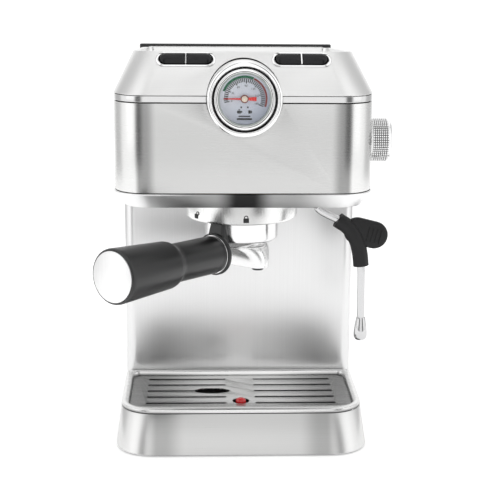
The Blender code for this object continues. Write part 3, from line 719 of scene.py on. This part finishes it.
def printed_bar(name, right, up, length, width, angle):
    """A short printed line, its length running along the angle."""
    clear()
    bpy.ops.mesh.primitive_plane_add(size=1, location=(0, 0, 0))
    bar = bpy.context.object
    bar.name = bar.data.name = name
    bpy.ops.object.mode_set(mode="EDIT")
    bpy.ops.transform.resize(value=(length, width, 1), center_override=(0, 0, 0))
    bpy.ops.mesh.bevel(affect="VERTICES", offset=min(length, width) * 0.3, segments=2)
    bpy.ops.mesh.select_all(action="SELECT")
    bpy.ops.mesh.extrude_region_move(TRANSFORM_OT_translate={"value": (0, 0, 0.00005)})
    bpy.ops.object.mode_set(mode="OBJECT")
    face_on = Matrix.Rotation(math.pi / 2, 4, "X") @ Matrix.Rotation(math.radians(angle), 4, "Z")
    bar.data.transform(Matrix.Translation(on_dial(right, up)) @ face_on)
    return bar


ticks = []
for step in range(37):
    angle = 190 - step * 212 / 36
    long = step % 6 == 0
    reach = 0.0134 if long else 0.0139
    right, up = reach * math.cos(math.radians(angle)), reach * math.sin(math.radians(angle))
    ticks.append(printed_bar(f"tick_{step}", right, up, 0.0038 if long else 0.0029, 0.00075, angle))
finish_off(join(ticks), black_ink, "machine").name = "dial_ticks"

figures = []
for step in range(0, 37, 6):
    angle = math.radians(190 - step * 212 / 36)
    bpy.ops.object.text_add(location=(0, 0, 0))
    figure = bpy.context.object
    figure.data.body, figure.data.size = str(step * 5), 0.0022
    figure.data.align_x, figure.data.align_y = "CENTER", "CENTER"
    figure.data.extrude = 0.00003
    clear()
    figure.select_set(True)
    bpy.ops.object.convert(target="MESH")
    figure = bpy.context.object
    place = Matrix.Translation(on_dial(0.0098 * math.cos(angle), 0.0098 * math.sin(angle)))
    figure.data.transform(place @ Matrix.Rotation(math.pi / 2, 4, "X"))
    figures.append(figure)
finish_off(join(figures), black_ink, "machine").name = "dial_figures"

mark_sizes = (
    (-0.0040, -0.0100, 0.0032, 0.0022),
    (-0.0021, -0.0097, 0.0009, 0.0012),
    (-0.0040, -0.0083, 0.0014, 0.0006),
    (0.0038, -0.0099, 0.0020, 0.0026),
    (0.0053, -0.0099, 0.0007, 0.0020),
    (0.0, -0.0132, 0.0090, 0.0009),
    (0.0, -0.0153, 0.0116, 0.0014),
)
marks = [printed_bar(f"mark_{number}", *sizes, 0) for number, sizes in enumerate(mark_sizes)]
finish_off(join(marks), black_ink, "machine").name = "dial_marks"
for name, x in (("dot_left", -0.0025), ("dot_right", 0.0025)):
    profile = [(0, 0.0303), (0.0007, 0.0303), (0.0007, 0.0304), (0, 0.0304)]
    dot = turn(name, profile, (x, gauge_back, gauge_middle - 0.0064), (0, -1, 0), 24)
    finish_off(dot, black_ink, "machine")

hand_red = moulded("hand_red", (0.70, 0.02, 0.015), 0.35, 900.0, 0.000004)
clear()
bpy.ops.mesh.primitive_cube_add(size=1, location=(0, 0, 0))
hand = bpy.context.object
hand.name = hand.data.name = "gauge_hand"
bpy.ops.object.mode_set(mode="EDIT")
bpy.ops.transform.resize(value=(0.016, 0.0008, 0.0016), center_override=(0, 0, 0))
bpy.ops.transform.translate(value=(-0.008, -0.1055, gauge_middle))
pick(hand, "VERT", lambda v: v.co.x < -0.012)
bpy.ops.transform.resize(value=(1, 1, 0.28), center_override=(-0.016, -0.1055, gauge_middle))
pick(hand, "FACE", lambda f: f.normal.x > 0.9)
bpy.ops.mesh.extrude_region_move(TRANSFORM_OT_translate={"value": (0.009, 0, 0)})
bpy.ops.transform.resize(value=(1, 1, 2.0), center_override=(0.009, -0.1055, gauge_middle))
bpy.ops.object.mode_set(mode="OBJECT")
finish_off(hand, hand_red, "needle", edge=0.0001, segments=2)
hub_cream = moulded("hub_cream", (0.72, 0.62, 0.50), 0.30, 900.0, 0.000004)
hub = turn(
    "gauge_hub",
    [(0, 0.0309), (0.0024, 0.0309), (0.0024, 0.0321), (0.0019, 0.0326), (0, 0.0327)],
    steps=48,
    **gauge_place,
)
finish_off(hub, hub_cream, "needle", edge=0.0001)
hub_ring = turn(
    "gauge_hub_ring",
    [(0.0023, 0.0309), (0.0031, 0.0309), (0.0031, 0.0319), (0.0023, 0.0322), (0.0023, 0.0309)],
    steps=48,
    **gauge_place,
)
finish_off(hub_ring, ink("hub_brown", (0.20, 0.03, 0.02)), "needle", "gauge_needle", smooth=40.0)

glass = Finish("gauge_glass_clear", Alpha=0.02, IOR=1.45, Coat_Weight=0.4, Coat_Roughness=0.02)
haze = glass.grain((300.0,) * 3, 2.0)
glass.tint(haze, (0.86, 0.95, 0.92), (0.90, 0.96, 0.95))
glass.feed("Roughness", haze * 0.03 + 0.01)
pane = turn(
    "gauge_pane",
    [(0, 0.0338), (0.0193, 0.0334), (0.0193, 0.0344), (0.0150, 0.0350), (0.0080, 0.0354), (0, 0.0355)],
    steps=96,
    **gauge_place,
)
finish_off(pane, glass.material, "machine", "gauge_glass", smooth=60.0)
# Painted shade: a thin black ring stands in for the shaded groove in the inner ring.
groove = turn(
    "gauge_groove",
    [(0.0208, 0.0370), (0.0213, 0.0370), (0.0213, 0.0380), (0.0208, 0.0380), (0.0208, 0.0370)],
    steps=128,
    **gauge_place,
)
finish_off(groove, seal_and_groove_shade_black, "machine", smooth=60.0)
gasket = turn(
    "gauge_gasket",
    [
        (0.0190, 0.0355),
        (0.0199, 0.0355),
        (0.0200, 0.0370),
        (0.0194, 0.0372),
        (0.0190, 0.0362),
        (0.0190, 0.0355),
    ],
    steps=128,
    **gauge_place,
)
finish_off(gasket, moulded("gasket_grey", (0.42, 0.46, 0.44), 0.30, 900.0, 0.000006), "machine", smooth=60.0)

# ---- Group and collar ----------------------------------------------------------------------------
# The brass group hangs under the head. A cast alloy collar with a satin finish is screwed to it and
# carries the ramps that the filter holder locks into, and two printed lock marks.

# Painted reflection on the collar: painted darker near its middle, at front and back, so that its sides look
# bright.
collar_reflection_bands = (0.026, 0.006, 1.0, 2.0, 0.34)
satin = brushed("satin_alloy", (0.90, 0.90, 0.895), 0.26, (900.0, 900.0, 40.0), reflection_bands=collar_reflection_bands)
collar = turn(
    "group_ring",
    [
        (0.0385, 0.2033),
        (0.0453, 0.2033),
        (0.0453, 0.1882),
        (0.0450, 0.1869),
        (0.0442, 0.1860),
        (0.0430, 0.1857),
        (0.0345, 0.1857),
        (0.0345, 0.1888),
        (0.0385, 0.1888),
        (0.0385, 0.2033),
    ],
    (0, -0.0440, 0),
    steps=160,
)
finish_off(collar, satin, "machine", "group_collar", edge=0.0002)

mark_ink = ink("mark_ink", (0.010, 0.010, 0.011))


def lock_mark(name, angle, is_open):
    """A small printed padlock on the collar, its shackle swung aside if it is open."""
    clear()
    bpy.ops.mesh.primitive_plane_add(size=1, location=(0, 0, 0))
    mark = bpy.context.object
    mark.name = mark.data.name = name
    bpy.ops.object.mode_set(mode="EDIT")
    bpy.ops.transform.resize(value=(0.0044, 0.0036, 1), center_override=(0, 0, 0))
    bpy.ops.transform.translate(value=(0, -0.0014, 0))
    bpy.ops.mesh.bevel(affect="VERTICES", offset=0.0004, segments=3)
    bpy.ops.mesh.primitive_circle_add(radius=0.0017, vertices=32, location=(0.0, 0.0, 0))
    bpy.ops.transform.translate(value=(0.0018 if is_open else 0.0, 0.0010, 0))
    bpy.ops.mesh.extrude_edges_move()
    bpy.ops.transform.resize(value=(0.58, 0.58, 1), center_override=(0.0018 if is_open else 0.0, 0.0010, 0))
    bpy.ops.mesh.select_all(action="SELECT")
    bpy.ops.mesh.extrude_region_move(TRANSFORM_OT_translate={"value": (0, 0, 0.00006)})
    bpy.ops.object.mode_set(mode="OBJECT")
    turned = Matrix.Rotation(math.radians(angle), 4, "Z")
    stand = Matrix.Translation((0, -0.0454, 0.1914)) @ Matrix.Rotation(math.pi / 2, 4, "X")
    mark.data.transform(Matrix.Translation((0, -0.0440, 0)) @ turned @ stand)
    finish_off(mark, mark_ink, "machine")


lock_mark("lock_mark_closed", 3, False)
lock_mark("lock_mark_open", -54, True)
brass = polished("group_brass", (0.72, 0.52, 0.26), 0.28)
screen_steel = polished("screen_steel", (0.80, 0.80, 0.80), 0.18)
wear(["group_body", "steam_valve", "valve_stem"], brass)
wear(["group_gasket"], foot_rubber)
wear(["shower_screen", "shower_screw", "filter_basket"], screen_steel)

# ---- Filter holder -------------------------------------------------------------------------------
# A plated brass cup that turns in the collar, with a double spout screwed up into its underside,
# and a black handle: neck, flange, grip with a shoulder half way, and a satin disc in its end.

cup = turn(
    "holder_cup",
    [
        (0, 0.1629),
        (0.0205, 0.1629),
        (0.0225, 0.1634),
        (0.0288, 0.1679),
        (0.0296, 0.1689),
        (0.0298, 0.1700),
        (0.0298, 0.1885),
        (0.0330, 0.1895),
        (0.0330, 0.1953),
        (0.0285, 0.1953),
        (0.0285, 0.1705),
        (0, 0.1700),
    ],
    (0, -0.0440, 0),
    steps=128,
)
plated = polished("holder_plating", (0.86, 0.86, 0.86), 0.15)
finish_off(cup, plated, "filter_holder", "portafilter_body", edge=0.0003)

with_handle = Matrix.Translation((0, -0.0440, 0)) @ Matrix.Rotation(math.radians(-40), 4, "Z")
spout = raise_walls(
    "spout_housing",
    [
        plan(0.0205, -0.0205, 0.0205, 0.0203, 0.0203, 0.1628),
        plan(0.0232, -0.0178, 0.0178, 0.0176, 0.0176, 0.1610),
        plan(0.0246, -0.0145, 0.0145, 0.0143, 0.0143, 0.1582),
        plan(0.0256, -0.0117, 0.0117, 0.0115, 0.0115, 0.1548),
        plan(0.0261, -0.0098, 0.0098, 0.0096, 0.0096, 0.1515),
        plan(0.0262, -0.0088, 0.0088, 0.0086, 0.0086, 0.1480),
        plan(0.0259, -0.0085, 0.0085, 0.0083, 0.0083, 0.1452),
    ],
    caps=("bottom", "top"),
    steps=16,
    place=with_handle,
)
spout_plating = polished("spout_plating", (0.88, 0.88, 0.88), 0.26)
finish_off(spout, spout_plating, "filter_holder", "double_spout", edge=0.0005, angle=50.0, smooth=50.0)
for side in (-1, 1):
    where = with_handle @ Vector((side * 0.0172, 0, 0))
    tip = turn(
        f"spout_tip_{'left' if side < 0 else 'right'}",
        [
            (0.0030, 0.1460),
            (0.0030, 0.1427),
            (0.0044, 0.1427),
            (0.0048, 0.1433),
            (0.0050, 0.1460),
            (0.0030, 0.1460),
        ],
        where,
        steps=48,
    )
    finish_off(tip, black_plastic, "filter_holder", edge=0.0002)

handle_black = moulded("handle_black", (0.008, 0.008, 0.0085), 0.33, 1500.0, 0.00001, Specular_IOR_Level=0.60)
neck = raise_walls(
    "handle_root",
    [
        plan(0.0088, -0.0345, -0.0262, 0.0030, 0.0010, 0.1500),
        plan(0.0098, -0.0348, -0.0270, 0.0030, 0.0010, 0.1580),
        plan(0.0096, -0.0346, -0.0280, 0.0030, 0.0010, 0.1660),
        plan(0.0084, -0.0338, -0.0285, 0.0028, 0.0010, 0.1740),
        plan(0.0070, -0.0326, -0.0286, 0.0022, 0.0010, 0.1810),
        plan(0.0062, -0.0316, -0.0288, 0.0018, 0.0010, 0.1850),
    ],
    caps=("bottom", "top"),
    place=with_handle,
)
finish_off(neck, handle_black, "filter_holder", "handle_neck", edge=0.0006, angle=50.0, smooth=50.0)

aside, lifted = math.radians(40), math.radians(1.7)
level = math.cos(lifted)
along = Vector((-math.sin(aside) * level, -math.cos(aside) * level, math.sin(lifted)))
on_handle = {"centre": (0, -0.0440, 0.1580), "axis": along}
flange = turn(
    "handle_flange",
    [
        (0, 0.0322),
        (0.0140, 0.0322),
        (0.0160, 0.0327),
        (0.0169, 0.0335),
        (0.0169, 0.0357),
        (0.0164, 0.0362),
        (0, 0.0362),
    ],
    steps=128,
    **on_handle,
)
finish_off(flange, handle_black, "filter_holder", "handle_ferrule", smooth=50.0)
shim_profile = [(0, 0.0362), (0.0155, 0.0362), (0.0155, 0.0372), (0, 0.0372)]
shim = turn("handle_ring", shim_profile, steps=128, **on_handle)
finish_off(shim, chrome, "filter_holder", edge=0.0002)
grip = turn(
    "handle_body",
    [
        (0, 0.0374),
        (0.0142, 0.0374),
        (0.0149, 0.0380),
        (0.0152, 0.0395),
        (0.0152, 0.0840),
        (0.0154, 0.0865),
        (0.0160, 0.0888),
        (0.0170, 0.0908),
        (0.0180, 0.0924),
        (0.0186, 0.0950),
        (0.0210, 0.1470),
        (0.0211, 0.1490),
        (0.0209, 0.1506),
        (0.0203, 0.1514),
        (0.0194, 0.1514),
        (0.0194, 0.1508),
        (0, 0.1508),
    ],
    steps=128,
    **on_handle,
)
finish_off(grip, handle_black, "filter_holder", "handle_grip", smooth=40.0)
disc_satin = brushed("disc_satin", (0.92, 0.92, 0.92), 0.50, (900.0, 900.0, 60.0), 0.000006)
disc_profile = [(0, 0.1509), (0.0192, 0.1509), (0.0192, 0.1519), (0.0186, 0.1523), (0, 0.1523)]
disc = turn("handle_disc", disc_profile, steps=128, **on_handle)
finish_off(disc, disc_satin, "filter_holder", "handle_end_cap", smooth=50.0)
# ---- Steam knob ----------------------------------------------------------------------------------
# A turned alloy knob pushed onto the valve's stem at the right-hand side. Its rim is rolled with a
# square knurl and its face is dished.

knob_place = {"centre": (0.1003, -0.0600, 0.2500), "axis": (1, 0, 0)}
rows = [0.0020 + 0.00155 * row for row in range(9)]
knob = turn(
    "knurled_knob",
    [(0, 0.0), (0.0148, 0.0), (0.0158, 0.0006)]
    + [(0.0161, height) for height in rows]
    + [(0.0163, 0.0158), (0.0152, 0.0170), (0.0138, 0.0172), (0.0128, 0.0164), (0, 0.0160)],
    steps=56,
    **knob_place,
)
bpy.ops.object.mode_set(mode="EDIT")
pick(knob, "FACE", lambda f: abs(f.normal.x) < 0.1 and abs(f.calc_center_median().x - 0.1085) < 0.0063)
bpy.ops.mesh.inset(thickness=0.00034, depth=0.00095, use_individual=True)
bpy.ops.object.mode_set(mode="OBJECT")
pads = [face.index for face in knob.data.polygons if face.select]
knob_steel = brushed("knob_steel", (0.90, 0.90, 0.90), 0.22, (500.0, 500.0, 500.0), 0.000006)
finish_off(knob, knob_steel, "steam_valve_knob", "steam_knob", smooth=25.0)
# Painted shade: the knurl's grooves get a darker copy of the knob's steel.
knob.data.materials.append(brushed("groove_shade_steel", (0.62, 0.62, 0.62), 0.36, (500.0, 500.0, 500.0)))
for face in knob.data.polygons:
    if face.index not in pads and 0.1022 < face.center.x < 0.1150 and abs(face.normal.x) < 0.995:
        face.material_index = 1

# ---- Steam wand ----------------------------------------------------------------------------------
# A bent stainless tube on a ball pivot, with a soft rubber sleeve and thumb paddle to push it by,
# and a flared frothing nozzle on its end.


def bend_tube(name, route, radius, sides=10):
    """A round bar of the given radius that runs smoothly through the route's points."""
    clear()
    bpy.ops.curve.primitive_bezier_curve_add(location=(0, 0, 0))
    bar = bpy.context.object
    bar.name = name
    points = bar.data.splines[0].bezier_points
    points.add(len(route) - 2)
    for point, (x, z) in zip(points, route):
        point.co = (x, -0.0680, z)
        point.handle_left_type = point.handle_right_type = "AUTO"
    bar.data.dimensions, bar.data.resolution_u = "3D", 8
    bar.data.bevel_depth, bar.data.bevel_resolution, bar.data.use_fill_caps = radius, sides, True
    bpy.ops.object.convert(target="MESH")
    bar = bpy.context.object
    bar.data.name = name
    return bar


wand_line = [
    (0.0585, 0.1990),
    (0.0612, 0.1950),
    (0.0668, 0.1914),
    (0.0765, 0.1865),
    (0.0855, 0.1800),
    (0.0920, 0.1700),
    (0.0950, 0.1590),
    (0.0962, 0.1490),
    (0.0968, 0.1260),
    (0.0972, 0.1030),
]
tube = bend_tube("wand_pipe", wand_line, 0.0031)
wand_steel = polished("wand_steel", (0.64, 0.64, 0.645), 0.08)
finish_off(tube, wand_steel, "steam_wand", "wand_tube", smooth=50.0)
ball = turn(
    "wand_ball",
    [
        (0, 0.1960),
        (0.0040, 0.1962),
        (0.0060, 0.1975),
        (0.0074, 0.1996),
        (0.0079, 0.2020),
        (0.0078, 0.2045),
        (0.0078, 0.2125),
        (0, 0.2125),
    ],
    (0.0585, -0.0680, 0),
    steps=64,
)
finish_off(ball, chrome, "steam_wand", "wand_pivot", smooth=50.0)

rubber_black = (0.008, 0.008, 0.0085)
sleeve_rubber = moulded("sleeve_rubber", rubber_black, 0.55, 1600.0, 0.00003, Specular_IOR_Level=0.35)
sleeve = bend_tube("wand_sleeve", wand_line[3:8], 0.0063, 12)
finish_off(sleeve, sleeve_rubber, "steam_wand", edge=0.0012, segments=4, angle=60.0, smooth=50.0)
lean = Matrix.Rotation(math.radians(14), 4, "Y") @ Matrix.Rotation(math.pi / 2, 4, "X")
paddle_place = Matrix.Translation((0.0993, -0.0680, 0.1758)) @ lean
paddle = raise_walls(
    "wand_paddle",
    [
        plan(0.0160, -0.0090, 0.0090, 0.0089, 0.0089, -0.0034),
        plan(0.0176, -0.0106, 0.0106, 0.0105, 0.0105, -0.0026),
        plan(0.0180, -0.0110, 0.0110, 0.0109, 0.0109, -0.0010),
        plan(0.0180, -0.0110, 0.0110, 0.0109, 0.0109, 0.0010),
        plan(0.0176, -0.0106, 0.0106, 0.0105, 0.0105, 0.0026),
        plan(0.0160, -0.0090, 0.0090, 0.0089, 0.0089, 0.0034),
    ],
    caps=("bottom", "top"),
    place=paddle_place,
)
finish_off(paddle, sleeve_rubber, "steam_wand", "wand_grip", smooth=60.0)
for number in range(4):
    rib = raise_walls(
        f"paddle_rib_{number}",
        [plan(0.0006, -0.006, 0.006, 0.00058, 0.00058, z, 0.002 + number * 0.0034) for z in (0.0026, 0.004)],
        caps=("bottom", "top"),
        place=paddle_place,
    )
    finish_off(rib, sleeve_rubber, "steam_wand", edge=0.0003)
nozzle = turn(
    "froth_nozzle",
    [
        (0, 0.1060),
        (0.0033, 0.1058),
        (0.0038, 0.1048),
        (0.0040, 0.1036),
        (0.0046, 0.1000),
        (0.0051, 0.0960),
        (0.0054, 0.0925),
        (0.0054, 0.0900),
        (0.0050, 0.0885),
        (0.0042, 0.0872),
        (0.0030, 0.0866),
        (0, 0.0865),
    ],
    (0.0972, -0.0680, 0),
    steps=64,
)
finish_off(nozzle, wand_steel, "steam_wand", "wand_nozzle", smooth=50.0)

# ---- Water tank and lid --------------------------------------------------------------------------
# A lift-out tank of smoked clear plastic stands behind the column on its sealing valve. Its hinged
# lid is moulded in black with a raised rear lip, and a steel plate is let into its top.

smoked = Finish("smoked_clear", Transmission_Weight=0.85, IOR=1.45)
cloud = smoked.grain((25.0,) * 3, 2.0)
smoked.tint(cloud, (0.26, 0.28, 0.29), (0.34, 0.36, 0.37))
smoked.feed("Roughness", cloud * 0.10 + 0.06)
tank = raise_walls(
    "tank_shell",
    [
        plan(0.0870, 0.1020, 0.1690, 0.0110, 0.0110, 0.0350),
        plan(0.0880, 0.1010, 0.1700, 0.0120, 0.0120, 0.0360),
        plan(0.0880, 0.1010, 0.1700, 0.0120, 0.0120, 0.3015),
    ],
    caps=("bottom",),
)
apply(tank, "SOLIDIFY", thickness=0.0025, offset=-1.0)
outlet = turn("outlet", [(0, 0.030), (0.0060, 0.030), (0.0060, 0.045), (0, 0.045)], (0, 0.1360, 0), steps=40)
cut(tank, [outlet])
finish_off(tank, smoked.material, "tank", "water_tank", edge=0.0005, segments=2)
wear(["tank_valve"], black_plastic)
wear(["valve_seat"], foot_rubber)

lid = raise_walls(
    "lid_plate",
    [plan(0.0920, 0.1000, 0.1722, 0.006, 0.008, 0.3018), plan(0.0920, 0.1000, 0.1722, 0.006, 0.008, 0.3075)],
    caps=("bottom", "top"),
)
lip = raise_walls(
    "lid_lip",
    [plan(0.0918, 0.1662, 0.1718, 0.002, 0.003, 0.3060), plan(0.0918, 0.1662, 0.1718, 0.002, 0.003, 0.3112)],
    caps=("bottom", "top"),
)
finish_off(join([lid, lip]), black_plastic, "lid", "tank_lid", edge=0.0012, segments=4)
inlay = raise_walls(
    "lid_inlay",
    [plan(0.0830, 0.1030, 0.1640, 0.004, 0.004, 0.3076), plan(0.0830, 0.1030, 0.1640, 0.004, 0.004, 0.3092)],
    caps=("bottom", "top"),
)
finish_off(inlay, top_steel, "lid", "tank_lid_insert", edge=0.0005)

# ---- Inside --------------------------------------------------------------------------------------
# Pump, heater, valve, hoses and boards, which are bolted inside the column and head and never seen
# in use: cast aluminium, moulded housings, silicone hose and lacquered circuit board.

wear(["pump"], black_plastic)
wear(["thermoblock"], brushed("cast_aluminium", (0.55, 0.55, 0.54), 0.55, (600.0, 600.0, 600.0), 0.00006))
wear(["supply_hose", "pressure_hose"], moulded("silicone_hose", (0.62, 0.65, 0.63), 0.45, 900.0, 0.00002))
wear(["control_board", "switch_board"], moulded("board_green", (0.02, 0.14, 0.06), 0.40, 2200.0, 0.00002))

# ---- Studio --------------------------------------------------------------------------------------
# A pale round-cornered table in a white room, with a darker strip of wall on each side of the camera
# that shapes the steel, soft lights above, beside and in front, and the camera above the head.


clear()
bpy.ops.mesh.primitive_plane_add(size=1, location=(0, 0, 0))
floor = bpy.context.object
floor.name = floor.data.name = "floor"
bpy.ops.object.mode_set(mode="EDIT")
bpy.ops.transform.resize(value=(1.5, 1.5, 1), center_override=(0, 0, 0))
bpy.ops.mesh.bevel(affect="VERTICES", offset=0.5, segments=24)
bpy.ops.object.mode_set(mode="OBJECT")
paper_white = Finish("paper_white", Roughness=0.9, Emission_Color=(1, 1, 1, 1), Emission_Strength=0.32)
paper_white.tint(paper_white.grain((3.0,) * 3), (0.955, 0.955, 0.955), (0.975, 0.975, 0.975))
floor.data.materials.append(paper_white.material)
floor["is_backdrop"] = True


def softbox(name, place, target, width, height, power, colour=(1, 1, 1)):
    lamp = bpy.data.lights.new(name, "AREA")
    lamp.shape, lamp.size, lamp.size_y, lamp.energy, lamp.color = "RECTANGLE", width, height, power, colour
    light = bpy.data.objects.new(name, lamp)
    light.location = place
    light.rotation_euler = (Vector(target) - Vector(place)).to_track_quat("-Z", "Y").to_euler()
    bpy.context.scene.collection.objects.link(light)
    return light


softbox("overhead", (0.0, -0.35, 1.9), (0, 0.0, 0.1), 2.2, 1.6, 1.5)
softbox("left_side", (-1.5, -0.9, 0.8), (0, 0, 0.18), 1.1, 1.7, 1.6)
softbox("right_side", (1.5, -0.8, 0.7), (0, 0, 0.18), 0.9, 1.5, 1.0)
softbox("front_high", (-0.3, -2.2, 1.3), (0, 0, 0.2), 1.8, 1.0, 1.0)

world = bpy.data.worlds.new("studio_air")
world.use_nodes = True
air = Nodes(world.node_tree, "Generated")
bearing = abs(air.axis(0).sum("ARCTAN2", air.axis(0), 0.0 - air.axis(1)))
room_light = 1.12
light = room_light
for middle, inner, outer, drop in ((34, 5, 17, 0.92), (122, 12, 28, 0.50)):
    off_strip = abs(bearing - math.radians(middle))
    light = light - air.rise(off_strip, math.radians(outer), math.radians(inner)) * drop
seen = air.add("ShaderNodeLightPath", out="Is Camera Ray")
light = light + (room_light - light) * seen
air.tree.links.new(light.socket, air.tree.nodes["Background"].inputs["Strength"])
air.tree.nodes["Background"].inputs["Color"].default_value = (1.0, 1.0, 1.0, 1)
bpy.context.scene.world = world

lens = bpy.data.cameras.new("camera")
lens.lens, lens.sensor_width, lens.sensor_fit = 90.0, 36.0, "HORIZONTAL"
lens.clip_start, lens.clip_end = 0.05, 20.0
camera = bpy.data.objects.new("camera", lens)
pan, tilt, roll = -0.0381, -0.2235, 0.0074
level_view = Matrix.Rotation(pan, 4, "Z") @ Matrix.Rotation(math.pi / 2 + tilt, 4, "X")
stand = Matrix.Translation((-0.0310, -1.0473, 0.3845))
camera.matrix_world = stand @ level_view @ Matrix.Rotation(roll, 4, "Z")
bpy.context.scene.collection.objects.link(camera)
bpy.context.scene.camera = camera
bpy.context.scene.view_settings.view_transform = "Standard"

bpy.context.view_layer.update()
sizes = {"cad": [list(cad_low), list(cad_high)], "visual": [list(corner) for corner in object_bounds()]}
